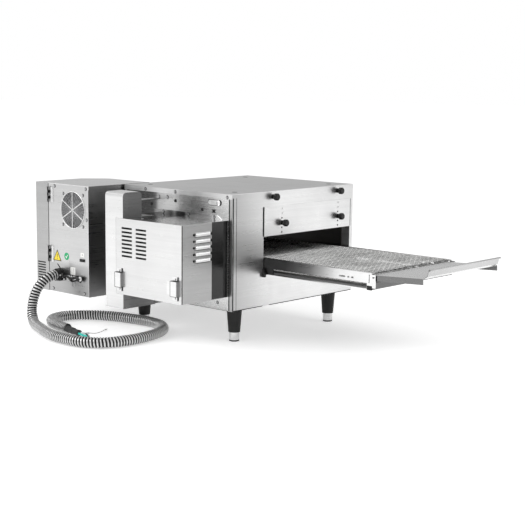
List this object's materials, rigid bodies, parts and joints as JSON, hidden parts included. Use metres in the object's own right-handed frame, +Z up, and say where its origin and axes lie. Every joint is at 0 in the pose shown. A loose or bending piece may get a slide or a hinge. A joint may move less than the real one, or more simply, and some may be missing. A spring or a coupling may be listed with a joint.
{
  "type": "conveyor pizza oven",
  "caption": "Countertop stainless conveyor oven with wire belt through an insulated chamber, rear motor housing, hinged control box, metal conduit and folding exit tray.",
  "frame": {"origin": "on the counter, under the middle of the oven's bounding box without its hose", "axes": "+X along the conveyor towards the exit tray, +Y towards the front, +Z up"},
  "size_m": [1.5234, 0.9431, 0.457],
  "materials": {
    "steel": "brushed",
    "dark_steel": "satin",
    "belt_wire": "drawn wire",
    "shaft_steel": "turned",
    "motor_paint": "satin paint",
    "wool": "mineral wool",
    "bush_bronze": "oiled",
    "black_plastic": "fine texture",
    "black_metal": "powder coat",
    "board": "solder mask",
    "conduit": "interlocked metal",
    "hose_rubber": "matt",
    "foot_metal": "turned"
  },
  "bodies": {
    "oven": {"base_pan": "dark_steel", "rear_panel": "steel", "front_panel": "steel", "top_cover": "steel", "outfeed_end_panel": "steel", "infeed_end_panel": "steel", "inner_liner": "dark_steel", "insulation": "wool", "upper_air_duct": "dark_steel", "lower_air_duct": "dark_steel", "blower_motor": "motor_paint", "heater_element": "dark_steel", "temperature_probe": "steel", "conveyor_frame": "steel", "wire_belt": "belt_wire", "shaft_bushings": "bush_bronze", "drive_chain": "belt_wire", "gear_motor": "motor_paint", "chain_guard": "steel", "motor_housing": "dark_steel", "motor_cover": "steel", "cable_column": "steel", "cover_straps": "steel", "body_screws": "shaft_steel", "control_box": "steel", "control_rear_panel": "steel", "control_electronics": "board", "fan_guard": "steel", "fan_frame": "black_plastic", "control_hinges": "black_metal", "cable_gland": "black_plastic", "conduit_hose": "conduit", "hose_end_wires": "hose_rubber", "legs": "black_metal"},
    "blower_rotor": {"blower_wheel": "dark_steel"},
    "outfeed_brow": {"outfeed_eyebrow": "steel"},
    "infeed_brow": {"infeed_eyebrow": "steel"},
    "outfeed_brow_knob_rear": {"outfeed_brow_knob_rear": "black_plastic"},
    "outfeed_brow_knob_front": {"outfeed_brow_knob_front": "black_plastic"},
    "infeed_brow_knob_rear": {"infeed_brow_knob_rear": "black_plastic"},
    "infeed_brow_knob_front": {"infeed_brow_knob_front": "black_plastic"},
    "outfeed_panel_knob_rear": {"outfeed_panel_knob_rear": "black_plastic"},
    "outfeed_panel_knob_front": {"outfeed_panel_knob_front": "black_plastic"},
    "infeed_panel_knob_rear": {"infeed_panel_knob_rear": "black_plastic"},
    "infeed_panel_knob_front": {"infeed_panel_knob_front": "black_plastic"},
    "drive_shaft_body": {"drive_shaft": "shaft_steel"},
    "idler_shaft_body": {"idler_shaft": "shaft_steel"},
    "motor_sprocket_body": {"motor_sprocket": "shaft_steel"},
    "crumb_tray_outfeed_body": {"crumb_tray_outfeed": "steel"},
    "crumb_tray_infeed_body": {"crumb_tray_infeed": "steel"},
    "exit_tray_body": {"exit_tray": "steel"},
    "fan_rotor_body": {"fan_rotor": "black_plastic"},
    "key_up_body": {"key_up": "black_plastic"},
    "key_down_body": {"key_down": "black_plastic"},
    "power_rocker_body": {"power_rocker": "black_plastic"},
    "control_door_body": {"control_door": "steel"},
    "foot_rear_out_body": {"foot_rear_out": "foot_metal"},
    "foot_rear_in_body": {"foot_rear_in": "foot_metal"},
    "foot_front_out_body": {"foot_front_out": "foot_metal"},
    "foot_front_in_body": {"foot_front_in": "foot_metal"}
  },
  "joints": [
    {"name": "blower_spin", "type": "hinge", "parent": "oven", "child": "blower_rotor", "pos_m": [-0.05466, -0.1075, 0.28], "axis": [0, 1, 0], "continuous": true},
    {"name": "fan_spin", "type": "hinge", "parent": "oven", "child": "fan_rotor_body", "pos_m": [-0.42066, -0.3175, 0.377], "axis": [0, 1, 0], "continuous": true},
    {"name": "drive_shaft_spin", "type": "hinge", "parent": "oven", "child": "drive_shaft_body", "pos_m": [-0.72966, 0.1525, 0.233], "axis": [0, 1, 0], "continuous": true},
    {"name": "idler_shaft_spin", "type": "hinge", "parent": "oven", "child": "idler_shaft_body", "pos_m": [0.54034, 0.1525, 0.233], "axis": [0, 1, 0], "continuous": true},
    {"name": "motor_sprocket_spin", "type": "hinge", "parent": "oven", "child": "motor_sprocket_body", "pos_m": [-0.50106, -0.0675, 0.233], "axis": [0, 1, 0], "continuous": true},
    {"name": "exit_tray_hinge", "type": "hinge", "parent": "oven", "child": "exit_tray_body", "pos_m": [0.56934, 0.1525, 0.24], "axis": [0, -1, 0], "range_deg": [0, 60]},
    {"name": "crumb_tray_outfeed_slide", "type": "slide", "parent": "oven", "child": "crumb_tray_outfeed_body", "axis": [1, 0, 0], "range_m": [0, 0.38]},
    {"name": "crumb_tray_infeed_slide", "type": "slide", "parent": "oven", "child": "crumb_tray_infeed_body", "axis": [-1, 0, 0], "range_m": [0, 0.38]},
    {"name": "outfeed_brow_slide", "type": "slide", "parent": "oven", "child": "outfeed_brow", "axis": [0, 0, 1], "range_m": [-0.029, 0.014]},
    {"name": "infeed_brow_slide", "type": "slide", "parent": "oven", "child": "infeed_brow", "axis": [0, 0, 1], "range_m": [-0.029, 0.014]},
    {"name": "outfeed_brow_knob_rear_turn", "type": "hinge", "parent": "outfeed_brow", "child": "outfeed_brow_knob_rear", "pos_m": [0.15534, 0.0345, 0.3566], "axis": [1, 0, 0], "range_deg": [0, 360]},
    {"name": "outfeed_panel_knob_rear_turn", "type": "hinge", "parent": "oven", "child": "outfeed_panel_knob_rear", "pos_m": [0.15534, -0.0075, 0.44], "axis": [1, 0, 0], "range_deg": [0, 360]},
    {"name": "outfeed_brow_knob_front_turn", "type": "hinge", "parent": "outfeed_brow", "child": "outfeed_brow_knob_front", "pos_m": [0.15534, 0.3095, 0.3566], "axis": [1, 0, 0], "range_deg": [0, 360]},
    {"name": "outfeed_panel_knob_front_turn", "type": "hinge", "parent": "oven", "child": "outfeed_panel_knob_front", "pos_m": [0.15534, 0.3075, 0.44], "axis": [1, 0, 0], "range_deg": [0, 360]},
    {"name": "infeed_brow_knob_rear_turn", "type": "hinge", "parent": "infeed_brow", "child": "infeed_brow_knob_rear", "pos_m": [-0.34466, 0.0345, 0.3566], "axis": [-1, 0, 0], "range_deg": [0, 360]},
    {"name": "infeed_panel_knob_rear_turn", "type": "hinge", "parent": "oven", "child": "infeed_panel_knob_rear", "pos_m": [-0.34466, -0.0075, 0.44], "axis": [-1, 0, 0], "range_deg": [0, 360]},
    {"name": "infeed_brow_knob_front_turn", "type": "hinge", "parent": "infeed_brow", "child": "infeed_brow_knob_front", "pos_m": [-0.34466, 0.3095, 0.3566], "axis": [-1, 0, 0], "range_deg": [0, 360]},
    {"name": "infeed_panel_knob_front_turn", "type": "hinge", "parent": "oven", "child": "infeed_panel_knob_front", "pos_m": [-0.34466, 0.3075, 0.44], "axis": [-1, 0, 0], "range_deg": [0, 360]},
    {"name": "control_door_hinge", "type": "hinge", "parent": "oven", "child": "control_door_body", "pos_m": [-0.53866, -0.337, 0.282], "axis": [0, 0, 1], "range_deg": [0, 110]},
    {"name": "key_up_press", "type": "slide", "parent": "control_door_body", "child": "key_up_body", "axis": [1, 0, 0], "range_m": [0, 0.0012], "stiffness_N_per_m": 400, "springref_m": -0.0005},
    {"name": "key_down_press", "type": "slide", "parent": "control_door_body", "child": "key_down_body", "axis": [1, 0, 0], "range_m": [0, 0.0012], "stiffness_N_per_m": 400, "springref_m": -0.0005},
    {"name": "power_rocker_tilt", "type": "hinge", "parent": "control_door_body", "child": "power_rocker_body", "pos_m": [-0.60166, -0.2475, 0.262], "axis": [0, 1, 0], "range_deg": [-8, 8]},
    {"name": "foot_rear_out_screw", "type": "slide", "parent": "oven", "child": "foot_rear_out_body", "axis": [0, 0, 1], "range_m": [0, 0.018]},
    {"name": "foot_rear_in_screw", "type": "slide", "parent": "oven", "child": "foot_rear_in_body", "axis": [0, 0, 1], "range_m": [0, 0.018]},
    {"name": "foot_front_out_screw", "type": "slide", "parent": "oven", "child": "foot_front_out_body", "axis": [0, 0, 1], "range_m": [0, 0.018]},
    {"name": "foot_front_in_screw", "type": "slide", "parent": "oven", "child": "foot_front_in_body", "axis": [0, 0, 1], "range_m": [0, 0.018]}
  ],
  "couplings": [
    {"joint": "idler_shaft_spin", "follows": "drive_shaft_spin", "ratio": 1},
    {"joint": "motor_sprocket_spin", "follows": "drive_shaft_spin", "ratio": 1}
  ]
}
